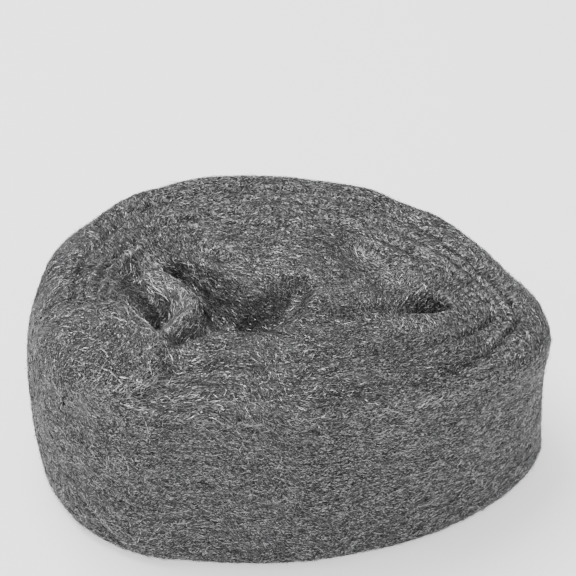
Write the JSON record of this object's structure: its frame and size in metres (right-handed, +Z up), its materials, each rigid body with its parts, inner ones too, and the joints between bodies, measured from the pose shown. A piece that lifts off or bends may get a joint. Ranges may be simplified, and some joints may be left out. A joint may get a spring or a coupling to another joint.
{
  "type": "steel wool bundle",
  "caption": "Oval coil of steel wool: a flat ribbon of fine wool wound up and lying on its edge, for scouring and polishing.",
  "frame": {"origin": "under the middle of the bundle, on the surface it rests on", "axes": "+X to the right along the bundle's length, -Y to the front, +Z up along the ribbon's width"},
  "size_m": [0.166, 0.12, 0.0673],
  "materials": {
    "steel_wool": "matte"
  },
  "bodies": {
    "root": {"steel_wool_bundle": "steel_wool"}
  },
  "joints": []
}
